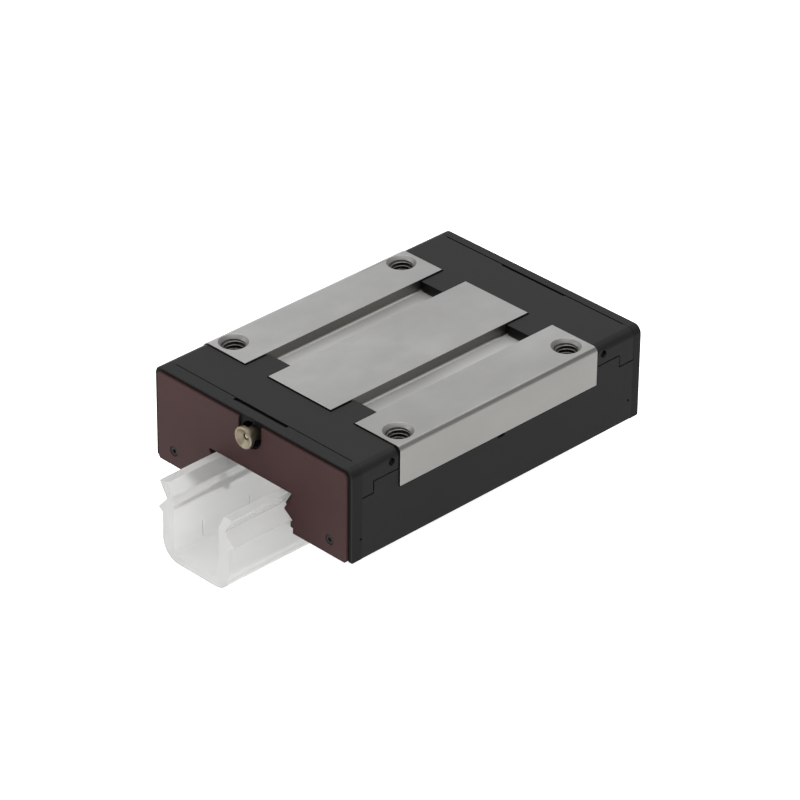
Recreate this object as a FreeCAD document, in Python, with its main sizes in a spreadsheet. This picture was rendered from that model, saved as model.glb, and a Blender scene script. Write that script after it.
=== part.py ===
import FreeCAD, Part
import math
import os
import Sketcher

# Profiled-rail guide carriage on its plastic assembly rail.
# Row frame: X across the rail, Y along the travel (the end with the grease
# nipple and the maroon scraper faces -Y), Z up, Z = 0 under the assembly rail.
# Carriage parts are drawn about the carriage's own middle and placed at
# carriage_y; the letters u below mean the distance along Y from that middle.

os.makedirs("parts", exist_ok=True)
V = FreeCAD.Vector
doc = FreeCAD.newDocument("guide")

SIZES = [
    # carriage as a whole
    ("carriage_y", 2.8), ("top_z", 37.3), ("steel_half", 34.05),
    ("flange_half", 35.0), ("flange_z", 26.5), ("edge_right", 1.5), ("edge_left", 2.7), ("cap_r", 2.3),
    ("land_half", 10.95), ("recess_out", 19.35), ("recess_z", 34.1), ("recess_r", 0.8),
    # steel legs and the nose between the ball tracks
    ("leg_out", 23.5), ("leg_in", 17.0), ("leg_z", 11.6), ("web_z", 24.2),
    ("nose_x", 14.65), ("nose_low", 15.1), ("nose_high", 20.7),
    # mounting holes
    ("hole_half", 29.0), ("hole_r", 3.0), ("sink", 0.9),
    # balls and their loops
    ("ball_r", 1.75), ("groove_r", 1.82), ("tunnel_r", 1.88), ("keep_r", 1.87),
    ("load_x", 14.3), ("load_up", 20.05), ("load_low", 15.74),
    ("back_x", 27.0), ("back_up", 22.4), ("back_low", 14.0),
    ("tube_or", 2.6), ("guide_half", 2.1), ("guide_in", 0.9),
    # black mouldings
    ("body_half", 34.7), ("body_z", 10.85), ("skin_x", 32.0),
    ("step_low", 28.3), ("step_high", 31.6), ("step_u", 42.7), ("seam", 0.25),
    ("cap_front_u", 46.4), ("cap_rear_u", 47.6), ("cap_top", 37.0), ("tongue_in", 11.3), ("tongue_out", 19.0),
    ("tongue_u", 26.3),
    ("cut_tip_x", 11.05), ("cut_tip_z", 17.36), ("cut_top_x", 14.05), ("cut_top_z", 22.2),
    ("cut_low_x", 14.75), ("cut_low_z", 13.2),
    ("port_z", 32.3), ("port_r", 2.5), ("lube_u", 40.0), ("lube_x", 17.5), ("lube_r", 0.7),
    ("side_port_u", 36.6), ("side_port_z", 34.3), ("side_port_r", 1.0),
    # end cover, scraper and seal
    ("cover_front_u", 49.85), ("cover_rear_u", 50.1), ("cover_top", 37.0), ("cover_z", 10.85),
    ("cover_cut_x", 16.2), ("cover_cut_z", 23.2),
    ("plate_back_u", 48.8), ("plate_u", 50.4), ("plate_half", 33.45),
    ("plate_z", 11.0), ("plate_top", 35.9), ("plate_gap", 0.15), ("plate_r", 1.2),
    ("plate_cut_x", 15.1), ("plate_cut_z", 22.1), ("plate_tip_x", 11.8), ("plate_tip_z", 16.9),
    ("plate_low_x", 14.9), ("plate_low_z", 14.6),
    ("notch_r", 4.0), ("notch_z", 32.5),
    ("seal_front_u", 47.6), ("seal_rear_u", 48.2), ("seal_half", 23.8), ("seal_top", 27.8), ("seal_bot", 11.1),
    # screws
    ("screw_x", 27.7), ("screw_z", 15.2),
    ("bolt_out_x", 21.8), ("bolt_out_z", 29.8), ("bolt_in_x", 7.5), ("bolt_in_z", 28.6),
    ("bolt_r", 1.5), ("bolt_head_r", 2.75),
    # grease nipple
    ("nip_head_r", 2.95), ("nip_u", 52.8), ("check_r", 1.0),
    # assembly rail
    ("rail_half_len", 65.5), ("rail_side", 12.1), ("rail_step_z", 12.86),
    ("rail_tip_x", 13.55), ("rail_tip_z", 13.65), ("rail_vee_x", 10.3), ("rail_vee_z", 17.3),
    ("rail_lip_x", 13.0), ("rail_top", 21.65), ("rail_lip_in", 10.2),
    ("rail_in", 8.0), ("rail_in_z", 17.2), ("rail_floor", 2.8), ("rail_r", 5.6),
]

sheet = doc.addObject("Spreadsheet::Sheet", "Sizes")
sheet.Label = "Sizes"
for i, (name, value) in enumerate(SIZES):
    sheet.set("A%d" % (i + 1), name)
    sheet.set("B%d" % (i + 1), str(value))
    sheet.setAlias("B%d" % (i + 1), name)
doc.recompute()


class Q:
    """A number together with the sheet expression that gives it."""

    def __init__(self, v, t):
        self.v = float(v)
        self.t = t

    def _c(o):
        return o if isinstance(o, Q) else Q(o, "(%r)" % float(o))

    def __add__(a, b):
        b = Q._c(b)
        return Q(a.v + b.v, "(%s + %s)" % (a.t, b.t))

    __radd__ = __add__

    def __sub__(a, b):
        b = Q._c(b)
        return Q(a.v - b.v, "(%s - %s)" % (a.t, b.t))

    def __rsub__(a, b):
        return Q._c(b) - a

    def __mul__(a, b):
        b = Q._c(b)
        return Q(a.v * b.v, "(%s * %s)" % (a.t, b.t))

    __rmul__ = __mul__

    def __neg__(a):
        return a * -1


class Sheet:
    pass


S = Sheet()
for name, value in SIZES:
    setattr(S, name, Q(value, "Sizes." + name))


def num(q):
    return q.v if isinstance(q, Q) else float(q)


def bind(obj, path, q):
    if isinstance(q, Q) and "Sizes." in q.t:
        obj.setExpression(path, q.t)
        return
    keys = path.split(".")
    if keys[0] == "Placement" or keys[0] == "AttachmentOffset":
        p = getattr(obj, keys[0])
        b = V(p.Base)
        setattr(b, keys[2], num(q))
        setattr(obj, keys[0], FreeCAD.Placement(b, p.Rotation))
    else:
        setattr(obj, keys[0], num(q))


NODES = []


def new_body(label, y=None, z=None, many=False):
    b = doc.addObject("PartDesign::Body", label)
    b.Label = label
    if many:
        b.AllowCompound = True
    if y is not None:
        bind(b, "Placement.Base.y", y)
    if z is not None:
        bind(b, "Placement.Base.z", z)
    NODES.append(b)
    return b


def origin(b, role):
    return [f for f in b.Origin.OriginFeatures if f.Role == role][0]


COUNT = [0]


def uid(stem):
    COUNT[0] += 1
    return "%s_%d" % (stem, COUNT[0])


def sketch(b, plane, polys=(), circles=(), off=0, ox=0, oy=0):
    """Closed outlines and circles on one of the body's origin planes.
    Planes: XZ (local x,y = X,Z; normal -Y), XY (normal +Z), YZ (local = Y,Z; normal +X)."""
    sk = b.newObject("Sketcher::SketchObject", uid("sk"))
    sk.AttachmentSupport = [(origin(b, plane + "_Plane"), "")]
    sk.MapMode = "FlatFace"
    sk.AttachmentOffset = FreeCAD.Placement(V(num(ox), num(oy), num(off)), FreeCAD.Rotation())
    for axis, q in (("x", ox), ("y", oy), ("z", off)):
        if isinstance(q, Q):
            bind(sk, "AttachmentOffset.Base." + axis, q)
    g = 0
    todo = []
    for pts in polys:
        n = len(pts)
        for i in range(n):
            a = pts[i]
            c = pts[(i + 1) % n]
            sk.addGeometry(Part.LineSegment(V(num(a[0]), num(a[1]), 0), V(num(c[0]), num(c[1]), 0)))
        for i in range(n):
            sk.addConstraint(Sketcher.Constraint("Coincident", g + i, 2, g + (i + 1) % n, 1))
        for i in range(n):
            for kind, q, ax in (("DistanceX", pts[i][0], -2), ("DistanceY", pts[i][1], -1)):
                if abs(num(q)) < 1e-9:
                    sk.addConstraint(Sketcher.Constraint("PointOnObject", g + i, 1, ax))
                else:
                    c = sk.addConstraint(Sketcher.Constraint(kind, -1, 1, g + i, 1, num(q)))
                    todo.append((c, q))
        g += n
    for (cx, cy, r) in circles:
        sk.addGeometry(Part.Circle(V(num(cx), num(cy), 0), V(0, 0, 1), num(r)))
        for kind, q, ax in (("DistanceX", cx, -2), ("DistanceY", cy, -1)):
            if abs(num(q)) < 1e-9:
                sk.addConstraint(Sketcher.Constraint("PointOnObject", g, 3, ax))
            else:
                c = sk.addConstraint(Sketcher.Constraint(kind, -1, 1, g, 3, num(q)))
                todo.append((c, q))
        c = sk.addConstraint(Sketcher.Constraint("Radius", g, num(r)))
        todo.append((c, r))
        g += 1
    for c, q in todo:
        if isinstance(q, Q) and "Sizes." in q.t:
            sk.setExpression("Constraints[%d]" % c, q.t)
    return sk


def pad(b, sk, length, rev=False, sym=False):
    p = b.newObject("PartDesign::Pad", uid("pad"))
    p.Profile = sk
    if sym:
        p.SideType = "Symmetric"
    p.Reversed = rev
    p.Length = num(length)
    bind(p, "Length", length)
    return p


def pocket(b, sk, length=None, rev=False, sym=False):
    p = b.newObject("PartDesign::Pocket", uid("pocket"))
    p.Profile = sk
    if sym:
        p.SideType = "Symmetric"
    p.Reversed = rev
    if length is None:
        p.Type = "ThroughAll"
    else:
        p.Length = num(length)
        bind(p, "Length", length)
    return p


def place(f, x, y, z, rot=None):
    f.Placement = FreeCAD.Placement(V(num(x), num(y), num(z)), rot or FreeCAD.Rotation())
    for axis, q in (("x", x), ("y", y), ("z", z)):
        if isinstance(q, Q):
            bind(f, "Placement.Base." + axis, q)


def prim(b, kind, x, y, z, rot=None, **dims):
    f = b.newObject("PartDesign::" + kind, uid(kind.lower()))
    for k, q in dims.items():
        setattr(f, k, num(q) if isinstance(q, Q) else q)
        if isinstance(q, Q):
            bind(f, k, q)
    place(f, x, y, z, rot)
    return f


def dress(b, kind, size, test):
    """Fillet or chamfer on the edges of the body's present shape that pass the test."""
    doc.recompute()
    base = b.Tip
    names = ["Edge%d" % (i + 1) for i, e in enumerate(base.Shape.Edges) if test(e)]
    if not names:
        raise SystemExit("no edge found for a %s on %s" % (kind, b.Label))
    f = b.newObject("PartDesign::" + kind, uid(kind.lower()))
    f.Base = (base, names)
    prop = "Radius" if kind == "Fillet" else "Size"
    setattr(f, prop, num(size))
    bind(f, prop, size)
    doc.recompute()
    if "Invalid" in f.State or f.Shape.isNull() or not f.Shape.isValid():
        raise SystemExit("%s on %s failed %s" % (kind, b.Label, f.State))
    return f


def along_y(points, tol=0.02):
    pts = [(num(x), num(z)) for x, z in points]

    def test(e):
        if len(e.Vertexes) != 2 or e.Curve.TypeId != "Part::GeomLine":
            return False
        a, c = e.Vertexes[0].Point, e.Vertexes[1].Point
        if abs(a.x - c.x) > 1e-4 or abs(a.z - c.z) > 1e-4:
            return False
        return any(abs(a.x - x) < tol and abs(a.z - z) < tol for x, z in pts)

    return test


def along_x(points, tol=0.02):
    pts = [(num(y), num(z)) for y, z in points]

    def test(e):
        if len(e.Vertexes) != 2 or e.Curve.TypeId != "Part::GeomLine":
            return False
        a, c = e.Vertexes[0].Point, e.Vertexes[1].Point
        if abs(a.y - c.y) > 1e-4 or abs(a.z - c.z) > 1e-4:
            return False
        return any(abs(a.y - y) < tol and abs(a.z - z) < tol for y, z in pts)

    return test


def mirrored(right):
    """A symmetric closed outline from its right half."""
    return list(right) + [(-x, z) for x, z in reversed(right)]


def flip(pts, sx):
    return pts if sx > 0 else [(-x, z) for x, z in pts]


TO_X = FreeCAD.Rotation(V(0, 1, 0), 90)
TO_Y = FreeCAD.Rotation(V(1, 0, 0), -90)
Yc = S.carriage_y
RAD = 180.0 / math.pi

LOOPS = []
for sx in (1, -1):
    for lz, bz in ((S.load_up, S.back_up), (S.load_low, S.back_low)):
        dx = S.back_x.v - S.load_x.v
        dz = bz.v - lz.v
        LOOPS.append(dict(sx=sx, lz=lz, bz=bz, r=math.hypot(dx, dz) / 2.0, tilt=math.atan2(dz, dx)))


def loop_rot(lp):
    """Turns a Z-axis solid so that its axis stands square to the plane of the turn."""
    return FreeCAD.Rotation(V(0, 1, 0), -lp["tilt"] * RAD * lp["sx"])


def loop_mid(lp):
    x = (S.load_x + S.back_x) * 0.5 * lp["sx"]
    return x, (lp["lz"] + lp["bz"]) * 0.5


# ------------------------------------------------------------------ steel body
b = new_body("carriage_body", Yc)
half = [(S.land_half, S.top_z), (S.land_half, S.recess_z), (S.recess_out, S.recess_z),
        (S.recess_out, S.top_z), (S.flange_half, S.top_z), (S.flange_half, S.flange_z),
        (S.leg_out, S.flange_z), (S.leg_out, S.leg_z), (S.leg_in, S.leg_z),
        (S.leg_in, S.nose_low), (S.nose_x, S.nose_low), (S.nose_x, S.nose_high),
        (S.leg_in, S.nose_high), (S.leg_in, S.web_z)]
pad(b, sketch(b, "XZ", [mirrored(half)]), S.steel_half * 2, sym=True)
pocket(b, sketch(b, "XZ", circles=[(S.load_x * s, z, S.groove_r) for s in (1, -1)
                                   for z in (S.load_up, S.load_low)]), sym=True)
dress(b, "Fillet", S.edge_right, along_y([(S.flange_half, S.top_z)]))
dress(b, "Fillet", S.edge_left, along_y([(-S.flange_half, S.top_z)]))
dress(b, "Fillet", S.recess_r, along_y([(S.recess_out * s, S.recess_z) for s in (1, -1)]
                                       + [(S.land_half * s, S.recess_z) for s in (1, -1)]))
pocket(b, sketch(b, "XY", circles=[(S.hole_half * i, S.hole_half * j, S.hole_r)
                                   for i in (1, -1) for j in (1, -1)], off=S.top_z))
dress(b, "Chamfer", S.sink, lambda e: e.Curve.TypeId == "Part::GeomCircle"
      and abs(e.Curve.Radius - S.hole_r.v) < 0.01 and abs(e.Curve.Center.z - S.top_z.v) < 0.01)
BOLTS = [(S.bolt_out_x, S.bolt_out_z), (-S.bolt_out_x, S.bolt_out_z),
         (S.bolt_in_x, S.bolt_in_z), (-S.bolt_in_x, S.bolt_in_z)]
for sy in (-1, 1):
    pocket(b, sketch(b, "XZ", circles=[(x, z, S.bolt_r + 0.03) for x, z in BOLTS],
                     off=S.steel_half * -sy), 10, rev=sy > 0)

# ------------------------------------------------------------- side housings
for sx, side in ((1, "right"), (-1, "left")):
    b = new_body("side_housing_" + side, Yc)
    # its edges stand back from the cap and the flange by the width of the seam
    e, u, c, d = S.steel_half + S.seam, S.step_u - S.seam, S.cap_front_u, S.cap_rear_u
    low, high = S.step_low - S.seam, S.step_high - S.seam
    skin = [(-c, S.body_z), (d, S.body_z), (d, low), (u, low), (u, high),
            (e, high), (e, S.flange_z), (-e, S.flange_z), (-e, high),
            (-u, high), (-u, low), (-c, low)]
    pad(b, sketch(b, "YZ", [skin], off=S.skin_x * sx), S.body_half - S.skin_x, rev=sx < 0)
    block = [(S.leg_out, S.body_z), (S.skin_x, S.body_z), (S.skin_x, S.flange_z), (S.leg_out, S.flange_z)]
    pad(b, sketch(b, "XZ", [flip(block, sx)]), S.steel_half * 2, sym=True)
    pocket(b, sketch(b, "XZ", circles=[(S.back_x * sx, z, S.tube_or + 0.02)
                                       for z in (S.back_up, S.back_low)]), sym=True)
    pocket(b, sketch(b, "YZ", [[(-0.55, S.flange_z - 1.0), (1.85, S.flange_z - 1.0),
                                (1.85, S.flange_z + 0.5), (-0.55, S.flange_z + 0.5)]],
                     off=S.body_half * sx), 2.5, rev=sx < 0)
    pocket(b, sketch(b, "YZ", [[(-S.steel_half - 0.1, S.flange_z - 0.3), (S.steel_half + 0.1, S.flange_z - 0.3),
                                (S.steel_half + 0.1, S.flange_z + 0.5), (-S.steel_half - 0.1, S.flange_z + 0.5)]],
                     off=S.body_half * sx), 0.9, rev=sx < 0)
    prim(b, "SubtractiveCylinder", S.body_half * sx - (0.4 if sx > 0 else 0.5), 46.3, 16.95, TO_X,
         Radius=0.35, Height=0.9)
    dress(b, "Fillet", 0.8, along_y([(S.body_half * sx, S.body_z)]))

# ------------------------------------------------------------------ end parts
for sy, end in ((-1, "front"), (1, "rear")):
    out = sy > 0

    def at(u):
        return u * -sy

    cap_u = S.cap_rear_u if out else S.cap_front_u
    seal_u = S.seal_rear_u if out else S.seal_front_u
    cover_u = S.cover_rear_u if out else S.cover_front_u

    # end cap with the turns of the four ball loops
    b = new_body("end_cap_" + end, Yc)
    half = [(S.body_half, S.cap_top), (S.body_half, S.step_high), (S.skin_x, S.step_high),
            (S.skin_x, S.body_z), (S.cut_low_x, S.body_z), (S.cut_low_x, S.cut_low_z),
            (S.cut_tip_x, S.cut_tip_z), (S.cut_top_x, S.cut_top_z)]
    pad(b, sketch(b, "XZ", [mirrored(half)], off=at(S.steel_half)), cap_u - S.steel_half, rev=out)
    wings = []
    for sx in (1, -1):
        wings.append(flip([(S.skin_x, S.step_low), (S.body_half, S.step_low),
                           (S.body_half, S.step_high), (S.skin_x, S.step_high)], sx))
    pad(b, sketch(b, "XZ", wings, off=at(S.step_u)), cap_u - S.step_u, rev=out)
    tongues = []
    for sx in (1, -1):
        tongues.append(flip([(S.tongue_in, S.recess_z + 0.62), (S.tongue_in + 0.6, S.recess_z + 0.02),
                             (S.tongue_out - 0.6, S.recess_z + 0.02),
                             (S.tongue_out, S.recess_z + 0.62), (S.tongue_out, S.cap_top),
                             (S.tongue_in, S.cap_top)], sx))
    pad(b, sketch(b, "XZ", tongues, off=at(S.steel_half)), S.steel_half - S.tongue_u, rev=not out)
    dress(b, "Fillet", S.cap_r, along_y([(S.body_half * s, S.cap_top) for s in (1, -1)]))
    # fine seam along the visible edge of the steel
    t_in, t_out, lim = S.tongue_in, S.tongue_out, 36.0
    frames = [[(-t_in, S.cap_top - 0.6), (t_in, S.cap_top - 0.6), (t_in, S.cap_top + 1), (-t_in, S.cap_top + 1)]]
    for sx in (1, -1):
        frames.append(flip([(t_out, S.cap_top - 0.6), (S.body_half - 2.9, S.cap_top - 0.6),
                            (S.body_half - 0.6, S.cap_top - 2.9), (S.body_half - 0.6, S.step_high - 0.1),
                            (lim, S.step_high - 0.1), (lim, S.cap_top + 1), (t_out, S.cap_top + 1)], sx))
    pocket(b, sketch(b, "XZ", frames, off=at(S.steel_half)), S.seam, rev=not out)
    # fine groove across the top where the cover meets the cap, wider in the middle
    pocket(b, sketch(b, "XZ", [[(-31.0, S.cap_top - 0.9), (31.0, S.cap_top - 0.9),
                                (31.0, S.cap_top + 1), (-31.0, S.cap_top + 1)]],
                     off=at(cap_u)), 0.3, rev=out)
    if out:
        pocket(b, sketch(b, "XZ", [[(-S.land_half, S.cap_top - 1.2), (S.land_half, S.cap_top - 1.2),
                                    (S.land_half, S.cap_top + 1), (-S.land_half, S.cap_top + 1)]],
                         off=at(cap_u)), 0.7, rev=out)
    for lp in LOOPS:
        x, z = loop_mid(lp)
        prim(b, "SubtractiveTorus", x, S.steel_half * sy, z, loop_rot(lp),
             Radius1=lp["r"], Radius2=S.tunnel_r)
        h = S.guide_half.v + 0.02
        rot = loop_rot(lp)
        low = rot.multVec(V(0, 0, -h))
        f = prim(b, "SubtractiveCylinder", x + low.x, S.steel_half * sy, z + low.z, rot,
                 Radius=lp["r"] - S.guide_in.v + 0.03, Height=2 * h)
    deep = 5.0 if out else 5.6
    pocket(b, sketch(b, "XZ", circles=[(0, S.port_z, S.port_r)], off=at(cap_u)), deep, rev=out)
    pocket(b, sketch(b, "XZ", circles=[(0, S.port_z, 1.0)], off=at(cap_u - deep + 1.0)), 3.2, rev=out)
    prim(b, "SubtractiveCylinder", -S.lube_x, S.lube_u * sy, S.port_z, TO_X,
         Radius=S.lube_r, Height=S.lube_x * 2)
    for sx in (1, -1):
        prim(b, "SubtractiveCylinder", S.lube_x * sx, S.lube_u * sy, S.load_low + 0.3,
             Radius=S.lube_r, Height=S.port_z - S.load_low)
    pocket(b, sketch(b, "XZ", circles=[(x, z, S.bolt_r + 0.2) for x, z in BOLTS], off=at(cap_u)),
           cap_u - S.steel_half + 1.0, rev=out)
    pocket(b, sketch(b, "XZ", circles=[(x, z, S.bolt_head_r + 0.15) for x, z in BOLTS],
                     off=at(cap_u)), 3.2, rev=out)
    pocket(b, sketch(b, "XZ", circles=[(S.screw_x * s, S.screw_z, 0.87) for s in (1, -1)],
                     off=at(cap_u)), 2.5, rev=out)
    for sx in (1, -1):
        prim(b, "SubtractiveCylinder", S.body_half * sx - (3.5 if sx > 0 else 1.0),
             S.side_port_u * sy, S.side_port_z, TO_X, Radius=S.side_port_r, Height=4.5)

    # end cover
    b = new_body("end_cover_" + end, Yc)
    half = [(S.body_half, S.cover_top), (S.body_half, S.cover_z + 0.4), (S.body_half - 0.4, S.cover_z),
            (S.cover_cut_x, S.cover_z), (S.cover_cut_x, S.cover_cut_z)]
    pad(b, sketch(b, "XZ", [mirrored(half)], off=at(cap_u)), cover_u - cap_u, rev=out)
    dress(b, "Fillet", S.cap_r, along_y([(S.body_half * s, S.cover_top) for s in (1, -1)]))
    if not out:
        dress(b, "Chamfer", 0.25, along_x([(cover_u * sy, S.cover_top)]))
    dress(b, "Chamfer", 0.6, along_x([(cover_u * sy, S.cover_z)]))
    g = S.plate_gap
    half = []
    for k in range(7):
        ang = math.radians(90 - 15 * k)
        half.append((S.plate_half - S.plate_r + (S.plate_r + g) * math.cos(ang),
                     S.plate_top - S.plate_r + (S.plate_r + g) * math.sin(ang)))
    half += [(S.plate_half + g, S.cover_z - 1), (S.cover_cut_x - 1, S.cover_z - 1),
             (S.cover_cut_x - 1, S.cover_cut_z)]
    pocket(b, sketch(b, "XZ", [mirrored(half)], off=at(cover_u)), cover_u - S.plate_back_u, rev=out)
    half = [(S.seal_half + 0.1, S.seal_top + 0.1), (S.seal_half + 0.1, S.seal_bot - 0.1),
            (S.cover_cut_x - 1, S.seal_bot - 0.1), (S.cover_cut_x - 1, S.cover_cut_z)]
    pocket(b, sketch(b, "XZ", [mirrored(half)], off=at(S.plate_back_u)),
           S.plate_back_u - seal_u, rev=out)
    if not out:
        # wide part of the top groove, in the back edge of this cover
        pocket(b, sketch(b, "XZ", [[(-9.3, S.cover_top - 1.2), (9.3, S.cover_top - 1.2),
                                    (9.3, S.cover_top + 1), (-9.3, S.cover_top + 1)]],
                         off=at(cap_u)), 0.95, rev=not out)
    # the pocket leaves an island that fills the notch of the plate
    r = S.notch_r - g
    pad(b, sketch(b, "XZ", circles=[(0, S.notch_z, r)], off=at(S.plate_back_u)),
        cover_u - S.plate_back_u, rev=out)
    pad(b, sketch(b, "XZ", [[(-r, S.notch_z), (r, S.notch_z), (r, S.plate_top + g + 0.1),
                             (-r, S.plate_top + g + 0.1)]], off=at(S.plate_back_u)),
        cover_u - S.plate_back_u, rev=out)
    pocket(b, sketch(b, "XZ", circles=[(0, S.port_z, 3.4)], off=at(cover_u)), rev=out)
    pocket(b, sketch(b, "XZ", circles=[(S.screw_x * s, S.screw_z, 0.95) for s in (1, -1)],
                     off=at(cover_u)), rev=out)
    if not out:
        for sx in (1, -1):
            prim(b, "SubtractiveCylinder", S.body_half * sx - (0.4 if sx > 0 else 0.5),
                 -46.8, 16.95, TO_X, Radius=0.35, Height=0.9)

    # scraper plate
    b = new_body("scraper_plate_" + end, Yc)
    half = [(S.plate_half, S.plate_top), (S.plate_half, S.plate_z + 0.6), (S.plate_half - 0.6, S.plate_z),
            (S.plate_low_x, S.plate_z), (S.plate_low_x, S.plate_low_z),
            (S.plate_tip_x, S.plate_tip_z), (S.plate_cut_x, S.plate_cut_z)]
    pad(b, sketch(b, "XZ", [mirrored(half)], off=at(S.plate_back_u)), S.plate_u - S.plate_back_u, rev=out)
    dress(b, "Fillet", S.plate_r, along_y([(S.plate_half * s, S.plate_top) for s in (1, -1)]))
    dress(b, "Fillet", 0.5, along_y([(S.plate_cut_x * s, S.plate_cut_z) for s in (1, -1)]
                                    + [(S.plate_tip_x * s, S.plate_tip_z) for s in (1, -1)]))
    pocket(b, sketch(b, "XZ", [[(-S.notch_r, S.notch_z), (S.notch_r, S.notch_z),
                                (S.notch_r, S.plate_top + 1), (-S.notch_r, S.plate_top + 1)]],
                     off=at(S.plate_u)), rev=out)
    pocket(b, sketch(b, "XZ", circles=[(0, S.notch_z, S.notch_r)], off=at(S.plate_u)), rev=out)
    pocket(b, sketch(b, "XZ", circles=[(S.screw_x * s, S.screw_z, 0.95) for s in (1, -1)],
                     off=at(S.plate_u)), rev=out)
    pocket(b, sketch(b, "XZ", circles=[(S.screw_x * s, S.screw_z, 1.35) for s in (1, -1)],
                     off=at(S.plate_u)), 0.9, rev=out)
    dress(b, "Chamfer", 0.15, along_x([(S.plate_u * sy, S.plate_top)]))

    # lip seal behind the scraper, following the rail profile
    b = new_body("end_seal_" + end, Yc)
    half = [(S.seal_half, S.seal_top), (S.seal_half, S.seal_bot), (12.45, S.seal_bot), (12.45, 12.65),
            (14.11, 13.5), (10.735, 17.34), (13.63, 22.0)]
    pad(b, sketch(b, "XZ", [mirrored(half)], off=at(seal_u + 0.02)),
        S.plate_back_u - seal_u - 0.02, rev=out)

    # two small screws through scraper and cover
    b = new_body("cover_screws_" + end, Yc, many=True)
    for sx in (1, -1):
        sk = sketch(b, "XY", [[(0, S.plate_u * sy - 0.75 * sy), (0.55, S.plate_u * sy - 0.75 * sy),
                               (0.62, S.plate_u * sy - 0.15 * sy), (1.1, S.plate_u * sy - 0.15 * sy),
                               (1.27, S.plate_u * sy - 0.32 * sy), (1.27, S.plate_u * sy - 0.88 * sy),
                               (0.85, S.plate_u * sy - 0.88 * sy), (0.85, cap_u * sy - 2.2 * sy),
                               (0.55, cap_u * sy - 2.45 * sy), (0, cap_u * sy - 2.45 * sy)]],
                    off=S.screw_z, ox=S.screw_x * sx)
        f = b.newObject("PartDesign::Revolution", uid("rev"))
        f.Profile = sk
        f.ReferenceAxis = (sk, ["V_Axis"])
        f.Angle = 360

    # four socket screws that hold the cap to the steel body
    b = new_body("cap_screws_" + end, Yc, many=True)
    for x, z in BOLTS:
        u0 = cap_u - 3.18
        sk = sketch(b, "XY", [[(0, (u0 + 3.0) * sy), (S.bolt_head_r - 0.3, (u0 + 3.0) * sy),
                               (S.bolt_head_r, (u0 + 2.7) * sy), (S.bolt_head_r, u0 * sy),
                               (S.bolt_r, u0 * sy), (S.bolt_r, (S.steel_half - 8.5) * sy),
                               (1.0, (S.steel_half - 9.0) * sy), (0, (S.steel_half - 9.0) * sy)]],
                    off=z, ox=x)
        f = b.newObject("PartDesign::Revolution", uid("rev"))
        f.Profile = sk
        f.ReferenceAxis = (sk, ["V_Axis"])
        f.Angle = 360
    for x, z in BOLTS:
        prim(b, "SubtractivePrism", x, (cap_u - 3.18 + (1.5 if out else 3.2)) * sy, z, TO_Y,
             Polygon=6, Circumradius=1.44, Height=1.7)

    # inner halves of the ball turns
    b = new_body("return_guides_" + end, Yc, many=True)
    for lp in LOOPS:
        x, z = loop_mid(lp)
        rot = loop_rot(lp)
        low = rot.multVec(V(0, 0, -S.guide_half.v))
        prim(b, "AdditiveCylinder", x + low.x, S.steel_half * sy, z + low.z, rot,
             Radius=lp["r"] - S.guide_in.v, Height=S.guide_half * 2)
    prim(b, "SubtractiveBox", -40, (S.steel_half * -1) if sy > 0 else S.steel_half * -1, 5,
         Length=80, Width=S.steel_half * 2, Height=30)
    for lp in LOOPS:
        x, z = loop_mid(lp)
        prim(b, "SubtractiveTorus", x, S.steel_half * sy, z, loop_rot(lp),
             Radius1=lp["r"], Radius2=S.tunnel_r)

# ------------------------------------------------------- return tubes, cages
for sx, side in ((1, "right"), (-1, "left")):
    b = new_body("return_tubes_" + side, Yc, many=True)
    cs = []
    for z in (S.back_up, S.back_low):
        cs += [(S.back_x * sx, z, S.tube_or), (S.back_x * sx, z, S.tunnel_r)]
    pad(b, sketch(b, "XZ", circles=cs), S.steel_half * 2, sym=True)

    x0 = S.load_x
    strips = {
        "upper": [(S.leg_in, S.web_z), (x0, S.web_z), (x0, 21.6), (15.9, S.nose_high + 0.05),
                  (S.leg_in, S.nose_high + 0.05)],
        "middle": [(12.35, 16.5), (14.6, 16.5), (14.6, 19.05), (12.35, 19.05)],
        "lower": [(S.leg_in, S.leg_z), (x0, S.leg_z), (x0, 13.9), (15.9, S.nose_low - 0.05),
                  (S.leg_in, S.nose_low - 0.05)],
    }
    for level, pts in strips.items():
        b = new_body("ball_retainer_%s_%s" % (level, side), Yc)
        pad(b, sketch(b, "XZ", [flip(pts, sx)]), S.steel_half * 2, sym=True)
        zs = [S.load_up, S.load_low] if level == "middle" else (
            [S.load_up] if level == "upper" else [S.load_low])
        pocket(b, sketch(b, "XZ", circles=[(S.load_x * sx, z, S.keep_r) for z in zs]), sym=True)

    b = new_body("bottom_seal_" + side, Yc)
    pts = [(S.leg_out - 0.05, 10.95), (13.7, 10.95), (12.45, 11.95), (12.7, 12.25), (13.9, S.leg_z),
           (S.leg_out - 0.05, S.leg_z)]
    pad(b, sketch(b, "XZ", [flip(pts, sx)]), S.steel_half * 2, sym=True)

    b = new_body("inner_seal_" + side, Yc)
    pts = [(14.15, S.web_z), (9.8, S.web_z), (9.8, 23.5), (12.2, 23.2), (12.6, 22.0), (12.95, 22.0),
           (13.3, 23.2), (14.15, 23.5)]
    pad(b, sketch(b, "XZ", [flip(pts, sx)]), S.steel_half * 2, sym=True)

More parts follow.
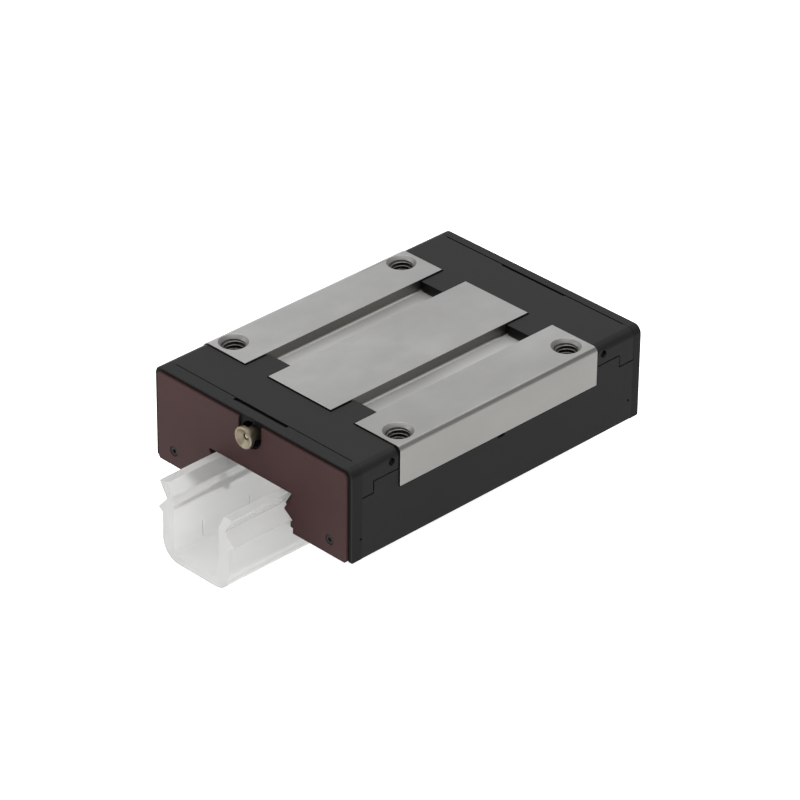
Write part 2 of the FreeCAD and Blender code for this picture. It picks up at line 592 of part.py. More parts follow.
# ------------------------------------------------------------- grease nipple
b = new_body("grease_nipple", Yc, S.port_z)
u = S.nip_u
prof = [(0.8, -(u - 1.0)), (2.15, -(u - 0.3)), (2.45, -u), (S.nip_head_r - 0.2, -u),
        (S.nip_head_r, -(u - 0.2)), (S.nip_head_r, -(u - 1.2)), (S.nip_head_r - 0.35, -(u - 1.45)),
        (1.9, -(u - 1.75)), (1.9, -(u - 4.6)), (2.2, -(u - 4.9)), (2.2, -46.9),
        (2.9, -46.6), (2.9, -(S.cap_front_u + 0.02)), (2.46, -(S.cap_front_u + 0.02)), (2.46, -41.5), (2.1, -41.1),
        (0.6, -41.1), (0.6, -41.8), (1.25, -41.8), (1.25, -(u - 1.4)), (0.8, -(u - 1.4))]
sk = sketch(b, "XY", [prof])
f = b.newObject("PartDesign::Revolution", uid("rev"))
f.Profile = sk
f.ReferenceAxis = (sk, ["V_Axis"])
f.Angle = 360

b = new_body("nipple_check_ball", Yc, S.port_z)
prim(b, "AdditiveSphere", 0, -(S.nip_u - 1.4) + 0.64, 0, Radius=S.check_r)

b = new_body("nipple_spring", Yc, S.port_z)
sk = sketch(b, "XY", circles=[(0.85, -42.0, 0.15)])
f = b.newObject("PartDesign::AdditiveHelix", uid("helix"))
f.Profile = sk
f.ReferenceAxis = (sk, ["V_Axis"])
f.Mode = "pitch-height-angle"
f.Pitch = 0.95
f.Height = 7.4
f.Reversed = True

b = new_body("port_plug_rear", Yc, S.port_z)
prof = [(0, 47.4), (2.2, 47.4), (2.46, 47.15), (2.46, 43.0), (2.2, 42.7), (0, 42.7)]
sk = sketch(b, "XY", [prof])
f = b.newObject("PartDesign::Revolution", uid("rev"))
f.Profile = sk
f.ReferenceAxis = (sk, ["V_Axis"])
f.Angle = 360
prim(b, "SubtractivePrism", 0, 45.0, 0, TO_Y, Polygon=6, Circumradius=1.44, Height=3.0)

b = new_body("side_port_screws", Yc, many=True)
for sx in (1, -1):
    for sy in (1, -1):
        prim(b, "AdditiveCylinder", S.body_half * sx + (-3.4 if sx > 0 else 1.2), S.side_port_u * sy,
             S.side_port_z, TO_X, Radius=S.side_port_r - 0.02, Height=2.2)
for sx in (1, -1):
    for sy in (1, -1):
        prim(b, "SubtractiveBox", S.body_half * sx + (-1.6 if sx > 0 else 1.1),
             S.side_port_u * sy - 0.18, S.side_port_z - 1.3, Length=0.5, Width=0.36, Height=2.6)

# ------------------------------------------------------------- assembly rail
b = new_body("assembly_rail")
half = [(S.rail_side, 0), (S.rail_side, S.rail_step_z), (S.rail_tip_x, S.rail_tip_z),
        (S.rail_vee_x, S.rail_vee_z), (S.rail_lip_x, S.rail_top), (S.rail_lip_in, S.rail_top),
        (S.rail_in, S.rail_in_z), (S.rail_in, S.rail_floor)]
pad(b, sketch(b, "XZ", [mirrored(half)]), S.rail_half_len * 2, sym=True)
dress(b, "Fillet", S.rail_r, along_y([(S.rail_side * s, 0) for s in (1, -1)]))
dress(b, "Fillet", 1.6, along_y([(S.rail_in * s, S.rail_floor) for s in (1, -1)]))
dress(b, "Fillet", 0.25, along_y([(S.rail_tip_x * s, S.rail_tip_z) for s in (1, -1)]
                                 + [(S.rail_lip_x * s, S.rail_top) for s in (1, -1)]))
for sx in (1, -1):
    for k in range(8):
        prim(b, "AdditiveBox", S.rail_in * sx - (0.35 if sx > 0 else 0.1), -56.25 + 15.5 * k,
             S.rail_floor - 0.3, Length=0.45, Width=0.7, Height=5.7)

doc.recompute()
for b in NODES:
    b.Tip = [f for f in b.Group if f.isDerivedFrom("PartDesign::Feature")][-1]
doc.recompute()


# -------------------------------------------------------------------- balls
# One row of separate balls per loop, spaced evenly along its closed path:
# loaded straight, front turn, return straight, rear turn.
def loop_point(lp, s):
    L = 2 * S.steel_half.v
    r = lp["r"]
    arc = math.pi * r
    sx = lp["sx"]
    ca, sa = math.cos(lp["tilt"]), math.sin(lp["tilt"])
    mx = (S.load_x.v + S.back_x.v) / 2.0
    mz = (lp["lz"].v + lp["bz"].v) / 2.0
    if s < L:
        a, y = -r, L / 2.0 - s
    elif s < L + arc:
        t = (s - L) / r
        a, y = -r * math.cos(t), -L / 2.0 - r * math.sin(t)
    elif s < 2 * L + arc:
        a, y = r, -L / 2.0 + (s - L - arc)
    else:
        t = (s - 2 * L - arc) / r
        a, y = r * math.cos(t), L / 2.0 + r * math.sin(t)
    return V(sx * (mx + a * ca), y, mz + a * sa)


for lp, label in zip(LOOPS, ("balls_upper_right", "balls_lower_right",
                             "balls_upper_left", "balls_lower_left")):
    total = 4 * S.steel_half.v + 2 * math.pi * lp["r"]
    n = int(total / (2 * sheet.get("ball_r") + 0.05))
    balls = [Part.makeSphere(float(sheet.get("ball_r")), loop_point(lp, total * (k + 0.35) / n))
             for k in range(n)]
    f = doc.addObject("Part::Feature", label)
    f.Label = label
    f.Shape = Part.makeCompound(balls)
    f.Placement = FreeCAD.Placement(V(0, float(sheet.get("carriage_y")), 0), FreeCAD.Rotation())
    f.setExpression("Placement.Base.y", "Sizes.carriage_y")
    NODES.append(f)
doc.recompute()

bad = 0
for o in doc.Objects:
    if "Invalid" in o.State or "Error" in o.State:
        print("BAD STATE", o.Label, o.State)
        bad += 1
for n in NODES:
    sh = n.Shape
    if sh.isNull() or not sh.isValid() or not sh.Solids:
        print("BAD SHAPE", n.Label)
        bad += 1
        continue
    bb = sh.BoundBox
    print("%-28s solids %3d vol %10.2f  x %7.2f %7.2f y %7.2f %7.2f z %6.2f %6.2f" % (
        n.Label, len(sh.Solids), sh.Volume, bb.XMin, bb.XMax, bb.YMin, bb.YMax, bb.ZMin, bb.ZMax))
if bad:
    raise SystemExit("faults: %d" % bad)
for n in NODES:
    n.Shape.exportStep("parts/%s.step" % n.Label)
print("nodes", len(NODES))
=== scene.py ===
import bpy
import bmesh
import math
from mathutils import Vector, Matrix


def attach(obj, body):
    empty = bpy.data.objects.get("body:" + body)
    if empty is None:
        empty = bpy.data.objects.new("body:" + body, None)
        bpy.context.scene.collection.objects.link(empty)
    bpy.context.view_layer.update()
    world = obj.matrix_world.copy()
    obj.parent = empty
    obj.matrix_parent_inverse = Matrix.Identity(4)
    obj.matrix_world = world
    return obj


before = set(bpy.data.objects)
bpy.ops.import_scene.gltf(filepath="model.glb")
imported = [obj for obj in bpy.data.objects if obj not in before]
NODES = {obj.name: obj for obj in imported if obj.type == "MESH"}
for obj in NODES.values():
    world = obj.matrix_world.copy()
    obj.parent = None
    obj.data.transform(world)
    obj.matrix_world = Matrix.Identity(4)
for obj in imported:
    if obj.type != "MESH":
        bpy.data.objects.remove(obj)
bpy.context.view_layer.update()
MM = 0.001
YC = 0.0028                      # carriage middle along the rail
scene = bpy.context.scene
scene.view_settings.view_transform = "Standard"
scene.view_settings.look = "None"
scene.view_settings.exposure = 0.0
scene.view_settings.gamma = 1.0


# ------------------------------------------------------------ node helpers
class Tree:
    """Short names for making shader nodes."""

    def __init__(self, name):
        self.mat = bpy.data.materials.new(name)
        self.mat.use_nodes = True
        self.nt = self.mat.node_tree
        self.nt.nodes.clear()
        self.out = self.nt.nodes.new("ShaderNodeOutputMaterial")
        self.bsdf = self.nt.nodes.new("ShaderNodeBsdfPrincipled")
        self.nt.links.new(self.bsdf.outputs[0], self.out.inputs[0])
        self.tc = self.nt.nodes.new("ShaderNodeTexCoord")

    def set(self, **kw):
        for k, v in kw.items():
            self.bsdf.inputs[k.replace("_", " ")].default_value = v

    def link(self, a, b):
        self.nt.links.new(a, b)

    def plug(self, socket, value):
        if hasattr(value, "is_linked") or hasattr(value, "links"):
            self.link(value, socket)
        else:
            socket.default_value = value

    def mapped(self, scale, loc=(0, 0, 0), rot=(0, 0, 0)):
        m = self.nt.nodes.new("ShaderNodeMapping")
        m.inputs["Scale"].default_value = scale
        m.inputs["Location"].default_value = loc
        m.inputs["Rotation"].default_value = rot
        self.link(self.tc.outputs["Object"], m.inputs["Vector"])
        return m.outputs[0]

    def noise(self, scale, detail=3.0, rough=0.5, loc=(0, 0, 0), dist=0.0):
        n = self.nt.nodes.new("ShaderNodeTexNoise")
        n.inputs["Scale"].default_value = 1.0
        n.inputs["Detail"].default_value = detail
        n.inputs["Roughness"].default_value = rough
        n.inputs["Distortion"].default_value = dist
        self.link(self.mapped(scale, loc), n.inputs["Vector"])
        return n.outputs[0]

    def cells(self, scale, loc=(0, 0, 0)):
        n = self.nt.nodes.new("ShaderNodeTexVoronoi")
        n.inputs["Scale"].default_value = 1.0
        self.link(self.mapped(scale, loc), n.inputs["Vector"])
        return n.outputs[0]

    def math(self, op, a, b=0.0, c=0.0, clamp=False):
        n = self.nt.nodes.new("ShaderNodeMath")
        n.operation = op
        n.use_clamp = clamp
        for s, v in zip(n.inputs, (a, b, c)):
            self.plug(s, v)
        return n.outputs[0]

    def ramp(self, value, lo, hi, to_lo=0.0, to_hi=1.0, smooth=False):
        n = self.nt.nodes.new("ShaderNodeMapRange")
        n.interpolation_type = "SMOOTHSTEP" if smooth else "LINEAR"
        n.clamp = True
        self.plug(n.inputs["Value"], value)
        n.inputs["From Min"].default_value = lo
        n.inputs["From Max"].default_value = hi
        n.inputs["To Min"].default_value = to_lo
        n.inputs["To Max"].default_value = to_hi
        return n.outputs[0]

    def mix(self, fac, a, b, kind="MIX"):
        n = self.nt.nodes.new("ShaderNodeMix")
        n.data_type = "RGBA"
        n.blend_type = kind
        n.clamp_factor = True
        for s, v in ((n.inputs[0], fac), (n.inputs[6], a), (n.inputs[7], b)):
            if isinstance(v, tuple) and len(v) == 3:
                v = (*v, 1.0)
            self.plug(s, v)
        return n.outputs[2]

    def xyz(self, source=None):
        n = self.nt.nodes.new("ShaderNodeSeparateXYZ")
        self.link(source if source is not None else self.tc.outputs["Object"], n.inputs[0])
        return n.outputs

    def normal(self):
        return self.xyz(self.tc.outputs["Normal"])

    def band(self, value, lo, hi, soft):
        """1 between lo and hi, fading over soft at both ends."""
        return self.math("MULTIPLY", self.ramp(value, lo - soft, lo + soft, 0, 1),
                         self.ramp(value, hi - soft, hi + soft, 1, 0))

    def bump(self, height, strength, distance, under=None):
        n = self.nt.nodes.new("ShaderNodeBump")
        n.inputs["Strength"].default_value = strength
        n.inputs["Distance"].default_value = distance
        self.link(height, n.inputs["Height"])
        if under is not None:
            self.link(under, n.inputs["Normal"])
        return n.outputs[0]

    def colour(self, v):
        self.plug(self.bsdf.inputs["Base Color"], v if not isinstance(v, tuple) else (*v, 1.0))

    def rough(self, v):
        self.plug(self.bsdf.inputs["Roughness"], v)

    def norm(self, v):
        self.link(v, self.bsdf.inputs["Normal"])


def grey(v):
    return (v, v, v)


# ------------------------------------------------------------- materials
def steel_ground():
    t = Tree("steel_ground")
    t.set(Metallic=1.0)
    pos = t.xyz()
    nor = t.normal()
    grain = t.noise((2600, 90, 2600), 4, 0.62)               # grinding lines along the travel
    fine = t.noise((9000, 420, 9000), 3, 0.6, (3, 1, 2))
    cloud = t.noise((46, 30, 46), 4, 0.6, (1.3, 0.2, 4))     # broad cloudy patches
    speck = t.noise((520, 520, 520), 5, 0.7, (9, 2, 1))
    top = (0.585, 0.583, 0.572)
    low = (0.535, 0.532, 0.520)
    patch = t.noise((150, 110, 150), 3, 0.55, (5, 2, 8))      # smaller mottling
    c = t.mix(t.ramp(cloud, 0.36, 0.66), low, top)
    c = t.mix(t.ramp(patch, 0.35, 0.65, 0.0, 0.42), c, (0.49, 0.487, 0.475))
    # painted shade: the steel darkens towards +X
    c = t.mix(t.ramp(pos[0], 0.012, 0.030, 0.0, 0.16), c, grey(0.30))
    c = t.mix(t.ramp(grain, 0.3, 0.72, 0.0, 0.13), c, grey(0.42))
    c = t.mix(t.ramp(speck, 0.58, 0.75, 0.0, 0.10), c, grey(0.36))
    # recess floor: brighter, drawn finish with streaks; painted shade darkens it towards the foot of the
    # +X-facing wall
    ax = t.math("ABSOLUTE", pos[0])
    floor_m = t.math("MULTIPLY", t.band(ax, 0.0113, 0.0190, 0.0001),
                     t.math("MULTIPLY", t.band(pos[2], 0.0336, 0.0351, 0.0002),
                            t.ramp(nor[2], 0.6, 0.9)))
    streak = t.noise((620, 14, 620), 3, 0.55, (4, 4, 1))
    floor_shade_ramp = t.math("ADD", t.ramp(pos[0], 0.0110, 0.0190),
                    t.math("MULTIPLY", t.ramp(pos[0], -0.0193, -0.0113), t.math("LESS_THAN", pos[0], 0.0)))
    bright = t.mix(floor_shade_ramp, (0.44, 0.438, 0.428), (0.66, 0.657, 0.647))
    bright = t.mix(t.ramp(streak, 0.35, 0.65, 0.0, 0.22), bright, (0.40, 0.398, 0.388))
    c = t.mix(floor_m, c, bright)
    # walls of the recess are darker; the rounded flange edge gets a painted dark reflection band
    side = t.math("ABSOLUTE", nor[0])
    wall_m = t.math("MULTIPLY", t.band(ax, 0.0104, 0.0197, 0.0002),
                    t.math("MULTIPLY", t.ramp(side, 0.35, 0.75), t.ramp(pos[2], 0.0342, 0.0348)))
    c = t.mix(wall_m, c, (0.20, 0.195, 0.185))
    edge_reflection_m = t.math("MULTIPLY", t.ramp(ax, 0.0321, 0.0324),
                    t.math("MULTIPLY", t.band(nor[2], 0.16, 0.90, 0.06), t.ramp(pos[2], 0.0343, 0.0346)))
    c = t.mix(edge_reflection_m, c, (0.20, 0.197, 0.188))
    # painted shade: the flange's outer side faces get a darker, mottled copy of the steel
    side_face_shade_m = t.math("MULTIPLY", t.ramp(ax, 0.0345, 0.0349), t.ramp(side, 0.90, 0.99))
    c = t.mix(side_face_shade_m, c, t.mix(t.ramp(cloud, 0.3, 0.7), (0.195, 0.192, 0.184), (0.226, 0.222, 0.213)))
    # countersinks and the walls below them stay dull and darken down the hole as painted shade; the end faces
    # get near-black painted shade
    hole_m = t.math("MULTIPLY", t.band(ax, 0.0247, 0.0333, 0.0001), t.ramp(nor[2], 0.93, 0.86))
    hole_m = t.math("MULTIPLY", hole_m, t.math("MULTIPLY", t.ramp(side, 0.999, 0.9),
                                               t.band(pos[2], 0.0272, 0.0374, 0.00004)))
    hole_depth_shade = t.ramp(pos[2], 0.0364, 0.0358)
    hole_dull_shaded_c = t.mix(hole_depth_shade, (0.26, 0.257, 0.248), (0.10, 0.098, 0.094))
    c = t.mix(hole_m, c, hole_dull_shaded_c)
    end_shade_m = t.ramp(t.math("ABSOLUTE", nor[1]), 0.6, 0.8)
    end_shade_m = t.math("MULTIPLY", end_shade_m, t.math("GREATER_THAN", t.math("ABSOLUTE", t.math("SUBTRACT", pos[1], YC)), 0.0335))
    c = t.mix(end_shade_m, c, (0.10, 0.098, 0.094))
    t.colour(c)
    r = t.ramp(fine, 0.25, 0.75, 0.30, 0.42)
    r = t.math("ADD", r, t.ramp(cloud, 0.3, 0.7, -0.03, 0.05))
    r = t.math("ADD", r, t.math("MULTIPLY", floor_m, 0.20))
    t.link(t.ramp(floor_m, 0.0, 1.0, 1.0, 0.55), t.bsdf.inputs["Metallic"])
    r = t.math("ADD", r, t.math("MULTIPLY", hole_m, 0.15))
    t.rough(r)
    t.set(Anisotropic=0.35)
    n = t.bump(grain, 0.10, 0.00002)
    t.norm(t.bump(fine, 0.06, 0.00001, n))
    return t.mat


def thread_steel():
    t = Tree("thread_steel")
    t.set(Metallic=1.0)
    n1 = t.noise((900, 900, 900), 4, 0.6)
    # painted shade: the threads are coloured far darker than the body steel, standing in for the shade deep in
    # the bores
    t.colour(t.mix(t.ramp(n1, 0.35, 0.7), (0.13, 0.127, 0.12), (0.24, 0.236, 0.227)))
    t.rough(t.ramp(n1, 0.3, 0.7, 0.30, 0.45))
    t.norm(t.bump(n1, 0.1, 0.00003))
    return t.mat


def plastic(name, base, dark, spec, r0, r1, grain_mm=0.22, bump=0.16, coat=0.0, side=1.0):
    t = Tree(name)
    k = 1.0 / (grain_mm * MM)
    g = t.noise((k, k, k), 4, 0.62)
    g2 = t.noise((k * 2.6, k * 2.6, k * 2.6), 2, 0.5, (5, 1, 7))
    cloud = t.noise((38, 38, 38), 4, 0.6, (2, 6, 1))
    dust = t.noise((1500, 1500, 1500), 5, 0.75, (7, 3, 1))
    c = t.mix(t.ramp(cloud, 0.32, 0.68), dark, base)
    c = t.mix(t.ramp(g, 0.3, 0.7, 0.0, 0.22), c, dark)
    c = t.mix(t.ramp(dust, 0.66, 0.80, 0.0, 0.10), c, tuple(min(1.0, v * 4 + 0.03) for v in base))
    # painted shade: when side < 1, faces looking along the rail are darkened towards near-black
    if side < 1.0:
        c = t.mix(t.ramp(t.math("ABSOLUTE", t.normal()[1]), 0.7, 0.95, 0.0, 0.6), c, (0.001, 0.001, 0.001))
    t.colour(c)
    t.rough(t.math("ADD", t.ramp(g, 0.25, 0.75, r0, r1), t.ramp(cloud, 0.3, 0.7, -0.03, 0.03)))
    # faces that look sideways are duller
    face = t.normal()
    flat = t.math("MAXIMUM", t.math("ABSOLUTE", face[0]), t.math("ABSOLUTE", face[1]))
    away = t.ramp(flat, 0.6, 0.95, spec, spec * side)
    t.link(away, t.bsdf.inputs["Specular IOR Level"])
    if coat:
        t.set(Coat_Weight=coat, Coat_Roughness=0.25)
    n = t.bump(g, bump, 0.00005)
    t.norm(t.bump(g2, bump * 0.6, 0.00002, n))
    return t.mat


def rubber(name):
    t = Tree(name)
    g = t.noise((2600, 2600, 2600), 4, 0.7)
    cloud = t.noise((60, 60, 60), 3, 0.6)
    t.colour(t.mix(t.ramp(cloud, 0.3, 0.7), (0.010, 0.010, 0.010), (0.018, 0.018, 0.018)))
    t.rough(t.ramp(g, 0.3, 0.7, 0.55, 0.75))
    t.set(Specular_IOR_Level=0.25)
    t.norm(t.bump(g, 0.2, 0.00003))
    return t.mat


def metal(name, base, other, r0, r1, scale=900, bump=0.06):
    t = Tree(name)
    t.set(Metallic=1.0)
    g = t.noise((scale, scale, scale), 4, 0.6)
    c = t.noise((scale / 6, scale / 6, scale / 6), 3, 0.6, (3, 3, 3))
    t.colour(t.mix(t.ramp(c, 0.32, 0.68), base, other))
    t.rough(t.ramp(g, 0.3, 0.7, r0, r1))
    t.norm(t.bump(g, bump, 0.00002))
    return t.mat


def black_oxide():
    t = Tree("black_oxide")
    t.set(Metallic=0.0, Specular_IOR_Level=0.14)
    g = t.noise((1800, 1800, 1800), 4, 0.65)
    c = t.noise((300, 300, 300), 3, 0.6, (3, 3, 3))
    t.colour(t.mix(t.ramp(c, 0.3, 0.7), (0.012, 0.013, 0.013), (0.022, 0.023, 0.023)))
    t.rough(t.ramp(g, 0.3, 0.7, 0.5, 0.65))
    t.norm(t.bump(g, 0.1, 0.00002))
    return t.mat


def milky():
    """Translucent moulded plastic: milky body, satin skin, faint flow marks along the rail."""
    t = Tree("milky_plastic")
    flow = t.noise((200, 18, 200), 1, 0.4, (1, 2, 3), 0.2)
    cloud = t.noise((90, 60, 90), 2, 0.5, (6, 1, 2))
    wave = t.noise((60, 12, 60), 0, 0.3, (1, 8, 2))
    c = t.mix(t.ramp(cloud, 0.3, 0.7), (0.555, 0.555, 0.548), (0.605, 0.605, 0.597))
    c = t.mix(t.ramp(flow, 0.50, 0.75, 0, 0.25), c, (0.515, 0.52, 0.517))
    t.colour(c)
    t.rough(t.ramp(flow, 0.3, 0.7, 0.20, 0.26))
    t.set(Transmission_Weight=0.62, IOR=1.46, Subsurface_Weight=0.0, Subsurface_Scale=0.003,
          Specular_IOR_Level=0.45)
    t.bsdf.inputs["Emission Color"].default_value = (1.0, 0.995, 0.98, 1)
    pos = t.xyz()
    nor = t.normal()
    vee = t.math("MULTIPLY", t.band(nor[2], 0.45, 0.85, 0.06), t.band(pos[2], 0.0137, 0.0173, 0.0001))
    ends = t.ramp(t.math("ABSOLUTE", nor[1]), 0.8, 0.95)
    inner = t.ramp(t.math("ABSOLUTE", pos[0]), 0.0079, 0.0082, 1.0, 0.0)
    # painted glow: emission stands in for light scattered inside the milky wall, more on the lower
    # flank of the ball groove and between the walls, less on the cut ends
    glow = t.math("ADD", t.ramp(vee, 0.0, 1.0, 0.085, 0.165), t.ramp(inner, 0.0, 1.0, 0.0, 0.018))
    t.plug(t.bsdf.inputs["Emission Strength"], t.math("SUBTRACT", glow, t.ramp(ends, 0.0, 1.0, 0.0, 0.030)))
    t.norm(t.bump(wave, 0.10, 0.0002))
    return t.mat


def cream():
    return plastic("natural_plastic", (0.66, 0.63, 0.53), (0.58, 0.55, 0.46), 0.45, 0.35, 0.5)


STEEL = steel_ground()
THREAD = thread_steel()
BLACK = plastic("black_moulded", (0.0100, 0.0101, 0.0099), (0.0066, 0.0067, 0.0066), 0.29, 0.38, 0.52, side=0.25)
COVER = plastic("black_cover", (0.0092, 0.0097, 0.0096), (0.0062, 0.0066, 0.0065), 0.26, 0.38, 0.52,
                side=0.20)
MAROON = plastic("maroon_plate", (0.049, 0.0245, 0.0240), (0.041, 0.0205, 0.0200), 0.07, 0.48, 0.60, 0.3, 0.10)
RUBBER = rubber("seal_rubber")
OXIDE = black_oxide()
CREAM = cream()
NIPPLE = metal("yellow_plating", (0.275, 0.239, 0.176), (0.205, 0.175, 0.126), 0.36, 0.54)
BALL = metal("ball_steel", (0.70, 0.70, 0.71), (0.64, 0.64, 0.66), 0.06, 0.12, 700, 0.02)
# painted shade: the check ball inside the nipple gets a darker copy of the ball steel
CHECK = metal("check_ball_steel", (0.34, 0.31, 0.25), (0.26, 0.235, 0.19), 0.30, 0.42, 1500)
WIRE = metal("spring_wire", (0.50, 0.50, 0.50), (0.42, 0.42, 0.42), 0.25, 0.35)
MILKY = milky()

USE = {
    "carriage_body": STEEL,
    "side_housing_": BLACK, "end_cap_": BLACK, "end_cover_": COVER,
    "scraper_plate_": MAROON, "end_seal_": RUBBER, "bottom_seal_": RUBBER, "inner_seal_": RUBBER,
    "cover_screws_": OXIDE, "cap_screws_": OXIDE, "port_plug_": OXIDE, "side_port_": OXIDE,
    "return_": CREAM, "ball_retainer_": CREAM, "balls_": BALL, "nipple_check_ball": CHECK,
    "nipple_spring": WIRE, "grease_nipple": NIPPLE, "assembly_rail": MILKY,
}


# ------------------------------------------------- soft edges on the CAD nodes
def edge_group(name, limit, boxes):
    """Drops stored normals, shades smooth, and marks for bevelling the sharp edges whose
    middle lies in one of the boxes (all of them when boxes is empty)."""
    g = bpy.data.node_groups.new(name, "GeometryNodeTree")
    g.interface.new_socket("Geometry", in_out="INPUT", socket_type="NodeSocketGeometry")
    g.interface.new_socket("Geometry", in_out="OUTPUT", socket_type="NodeSocketGeometry")
    n, ln = g.nodes, g.links
    gi, go = n.new("NodeGroupInput"), n.new("NodeGroupOutput")
    rm = n.new("GeometryNodeRemoveAttribute")
    rm.inputs["Name"].default_value = "custom_normal"
    ln.new(gi.outputs[0], rm.inputs[0])
    flow = rm.outputs[0]
    for dom in ("EDGE", "FACE"):
        sm = n.new("GeometryNodeSetShadeSmooth")
        sm.domain = dom
        ln.new(flow, sm.inputs[0])
        flow = sm.outputs[0]
    ang = n.new("GeometryNodeInputMeshEdgeAngle")
    cmp_ = n.new("FunctionNodeCompare")
    cmp_.data_type = "FLOAT"
    cmp_.operation = "GREATER_THAN"
    ln.new(ang.outputs[0], cmp_.inputs[0])
    cmp_.inputs[1].default_value = math.radians(limit)
    pick = cmp_.outputs[0]
    if boxes:
        pos = n.new("GeometryNodeInputPosition")
        anyof = None
        for lo, hi in boxes:
            both = None
            for vec, op in ((lo, "GREATER_EQUAL"), (hi, "LESS_EQUAL")):
                c = n.new("FunctionNodeCompare")
                c.data_type = "VECTOR"
                c.mode = "ELEMENT"
                c.operation = op
                ln.new(pos.outputs[0], c.inputs[4])
                c.inputs[5].default_value = vec
                if both is None:
                    both = c.outputs[0]
                else:
                    b = n.new("FunctionNodeBooleanMath")
                    b.operation = "AND"
                    ln.new(both, b.inputs[0])
                    ln.new(c.outputs[0], b.inputs[1])
                    both = b.outputs[0]
            if anyof is None:
                anyof = both
            else:
                b = n.new("FunctionNodeBooleanMath")
                b.operation = "OR"
                ln.new(anyof, b.inputs[0])
                ln.new(both, b.inputs[1])
                anyof = b.outputs[0]
        b = n.new("FunctionNodeBooleanMath")
        b.operation = "AND"
        ln.new(pick, b.inputs[0])
        ln.new(anyof, b.inputs[1])
        pick = b.outputs[0]
    sw = n.new("GeometryNodeSwitch")
    sw.input_type = "FLOAT"
    ln.new(pick, sw.inputs[0])
    sw.inputs[1].default_value = 0.0
    sw.inputs[2].default_value = 1.0
    st = n.new("GeometryNodeStoreNamedAttribute")
    st.data_type = "FLOAT"
    st.domain = "EDGE"
    st.inputs["Name"].default_value = "bevel_weight_edge"
    ln.new(flow, st.inputs[0])
    ln.new(sw.outputs[0], st.inputs["Value"])
    ln.new(st.outputs[0], go.inputs[0])
    return g


def soften(node, width, boxes=(), limit=32, segs=2, clamp=True):
    o = NODES[node]
    w = o.modifiers.new("weld", "WELD")
    w.merge_threshold = 2e-6
    d = o.modifiers.new("flat", "DECIMATE")
    d.decimate_type = "DISSOLVE"
    d.angle_limit = math.radians(0.3)
    m = o.modifiers.new("edges", "NODES")
    m.node_group = edge_group("edges_" + node, limit, boxes)
    b = o.modifiers.new("bevel", "BEVEL")
    b.limit_method = "WEIGHT"
    b.width = width
    b.segments = segs
    b.use_clamp_overlap = clamp
    b.miter_outer = "MITER_ARC"
    n = o.modifiers.new("normals", "WEIGHTED_NORMAL")
    n.weight = 60
    n.keep_sharp = False
    return o


for n, o in NODES.items():
    hit = [m for k, m in USE.items() if n.startswith(k)]
    assert hit, n
    for s in o.material_slots:
        s.material = hit[0]

BIG = ((-1, -1, -1), (1, 1, 1))


def box_mm(x0, y0, z0, x1, y1, z1):
    """Box in mm about the carriage's middle."""
    return ((x0 * MM, y0 * MM + YC, z0 * MM), (x1 * MM, y1 * MM + YC, z1 * MM))


soften("carriage_body", 0.12 * MM, [box_mm(-36, -34.2, 26.0, 36, 34.2, 37.5)], 30)
for side, sx in (("right", 1), ("left", -1)):
    xs = sorted((31.9 * sx, 35.0 * sx))
    soften("side_housing_" + side, 0.14 * MM, [box_mm(xs[0], -49, 9, xs[1], 49, 32)], 30)
for end, sy in (("front", -1), ("rear", 1)):
    def yy(a, b):
        return sorted((a * sy, b * sy))
    y = yy(26.0, 48.5)
    soften("end_cap_" + end, 0.14 * MM,
           [box_mm(-35, y[0], 34.3, 35, y[1], 37.5), box_mm(33.5, y[0], 27, 35, y[1], 37.5),
            box_mm(-35, y[0], 27, -33.5, y[1], 37.5)], 30, clamp=False)
    soften("end_cover_" + end, 0.12 * MM, [], 30)
    soften("scraper_plate_" + end, 0.10 * MM, [], 30)
soften("assembly_rail", 0.12 * MM, [], 30)
soften("grease_nipple", 0.06 * MM, [], 30)


# ------------------------------------------------------------- screw threads
def thread_mesh(name, x, y, z_top, z_low, r_wall, r_crest, pitch):
    """One helical ridge that runs down a bore, with its ends running out into the wall."""
    bm = bmesh.new()
    per = 56
    turns = (z_top - z_low) / pitch
    total = int(per * turns)
    prof = [(r_wall, 0.46), (r_crest + 0.05, 0.13), (r_crest, 0.08), (r_crest, -0.08),
            (r_crest + 0.05, -0.13), (r_wall, -0.46)]
    rings = []
    for i in range(total + 1):
        a = 2 * math.pi * i / per
        fade = min(1.0, i / (per * 0.45), (total - i) / (per * 0.3))
        fade = max(0.02, fade)
        z = z_top - pitch * i / per
        ring = []
        for r, dz in prof:
            rr = r_wall - (r_wall - r) * fade
            ring.append(bm.verts.new(((x + rr * math.cos(a)) * MM, (y + rr * math.sin(a)) * MM + YC,
                                      (z + dz * pitch * fade) * MM)))
        rings.append(ring)
    for a, b in zip(rings, rings[1:]):
        for k in range(len(prof)):
            j = (k + 1) % len(prof)
            bm.faces.new((a[k], a[j], b[j], b[k]))
    bm.faces.new(rings[0])
    bm.faces.new(list(reversed(rings[-1])))
    bmesh.ops.recalc_face_normals(bm, faces=bm.faces)
    me = bpy.data.meshes.new(name)
    bm.to_mesh(me)
    bm.free()
    for p in me.polygons:
        p.use_smooth = True
    me.materials.append(THREAD)
    o = bpy.data.objects.new(name, me)
    scene.collection.objects.link(o)
    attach(o, "carriage")
    return o


for i, (hx, hy) in enumerate(((29, -29), (-29, -29), (29, 29), (-29, 29))):
    thread_mesh("hole_thread_%d" % (i + 1), hx, hy, 36.15, 26.9, 3.04, 2.50, 1.0)


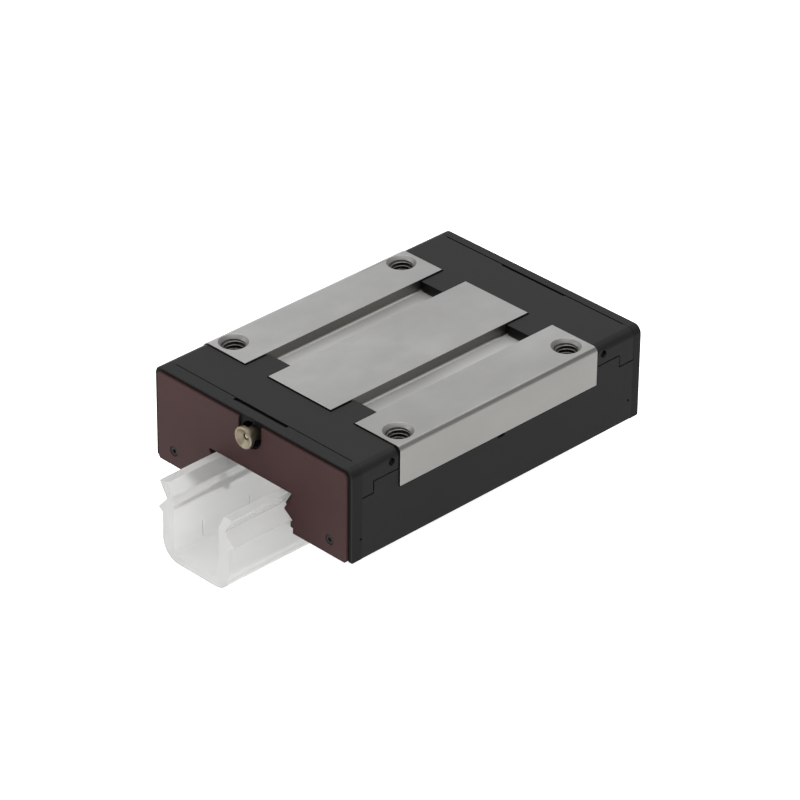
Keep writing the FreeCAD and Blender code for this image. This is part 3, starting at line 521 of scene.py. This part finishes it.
# ----------------------------------------------------------- floor and light
def floor():
    t = Tree("pale_floor")
    c = t.noise((3, 3, 3), 4, 0.6)
    t.colour(t.mix(t.ramp(c, 0.3, 0.7), (0.86, 0.86, 0.86), (0.88, 0.88, 0.88)))
    t.rough(0.8)
    t.set(Specular_IOR_Level=0.1)
    t.bsdf.inputs["Emission Color"].default_value = (1, 1, 1, 1)
    t.set(Emission_Strength=0.86)
    bm = bmesh.new()
    bmesh.ops.create_circle(bm, cap_ends=True, radius=6.0, segments=96)
    me = bpy.data.meshes.new("floor")
    bm.to_mesh(me)
    bm.free()
    me.materials.append(t.mat)
    o = bpy.data.objects.new("floor", me)
    scene.collection.objects.link(o)
    o.location = (0, 0, -0.0002)
    return o


floor()

world = bpy.data.worlds.new("studio")
scene.world = world
world.use_nodes = True
wt = world.node_tree
wt.nodes.clear()
wo = wt.nodes.new("ShaderNodeOutputWorld")
bg = wt.nodes.new("ShaderNodeBackground")
tc = wt.nodes.new("ShaderNodeTexCoord")
sep = wt.nodes.new("ShaderNodeSeparateXYZ")
wt.links.new(tc.outputs["Generated"], sep.inputs[0])
cr = wt.nodes.new("ShaderNodeValToRGB")
cr.color_ramp.elements[0].position = 0.0
cr.color_ramp.elements[0].color = (1.0, 1.0, 1.0, 1)
cr.color_ramp.elements[1].position = 1.0
cr.color_ramp.elements[1].color = (0.62, 0.62, 0.62, 1)
e = cr.color_ramp.elements.new(0.10)
e.color = (0.95, 0.95, 0.95, 1)
e = cr.color_ramp.elements.new(0.30)
e.color = (0.66, 0.66, 0.66, 1)
wt.links.new(sep.outputs[2], cr.inputs[0])
wt.links.new(cr.outputs[0], bg.inputs[0])
bg.inputs[1].default_value = 1.0
wt.links.new(bg.outputs[0], wo.inputs[0])


def area(name, loc, aim, size, power, colour=(1, 1, 1)):
    ld = bpy.data.lights.new(name, "AREA")
    ld.shape = "RECTANGLE"
    ld.size, ld.size_y = size
    ld.energy = power
    ld.color = colour
    o = bpy.data.objects.new(name, ld)
    scene.collection.objects.link(o)
    o.location = loc
    d = Vector(aim) - Vector(loc)
    o.rotation_mode = "QUATERNION"
    o.rotation_quaternion = d.to_track_quat("-Z", "Y")
    return o


area("top_soft", (0.05, -0.1, 1.2), (0, 0, 0), (1.2, 1.2), 7.0)
area("left_soft", (-0.75, -0.75, 0.55), (0, 0, 0.02), (0.6, 0.6), 3.0)

# -------------------------------------------------------------------- camera
A, E, ROLL = math.radians(45.23), math.radians(31.03), math.radians(0.603)
back = Vector((math.sin(A) * math.cos(E), -math.cos(A) * math.cos(E), math.sin(E)))
right = Vector((math.cos(A), math.sin(A), 0))
up = Vector((-math.sin(E) * math.sin(A), math.sin(E) * math.cos(A), math.cos(E)))
c, s = math.cos(ROLL), math.sin(ROLL)
right2 = right * c + up * s
up2 = right * -s + up * c
origin = Vector((0, YC, 0.0373))
cam_data = bpy.data.cameras.new("camera")
cam_data.sensor_width = 36.0
cam_data.lens = 200.05
cam_data.clip_start = 0.01
cam_data.clip_end = 50
cam = bpy.data.objects.new("camera", cam_data)
scene.collection.objects.link(cam)
m = Matrix.Identity(4)
for i in range(3):
    m[i][0], m[i][1], m[i][2] = right2[i], up2[i], back[i]
pos = origin + right2 * 0.000059 + up2 * -0.013856 + back * 1.0961
for i in range(3):
    m[i][3] = pos[i]
cam.matrix_world = m
scene.camera = cam
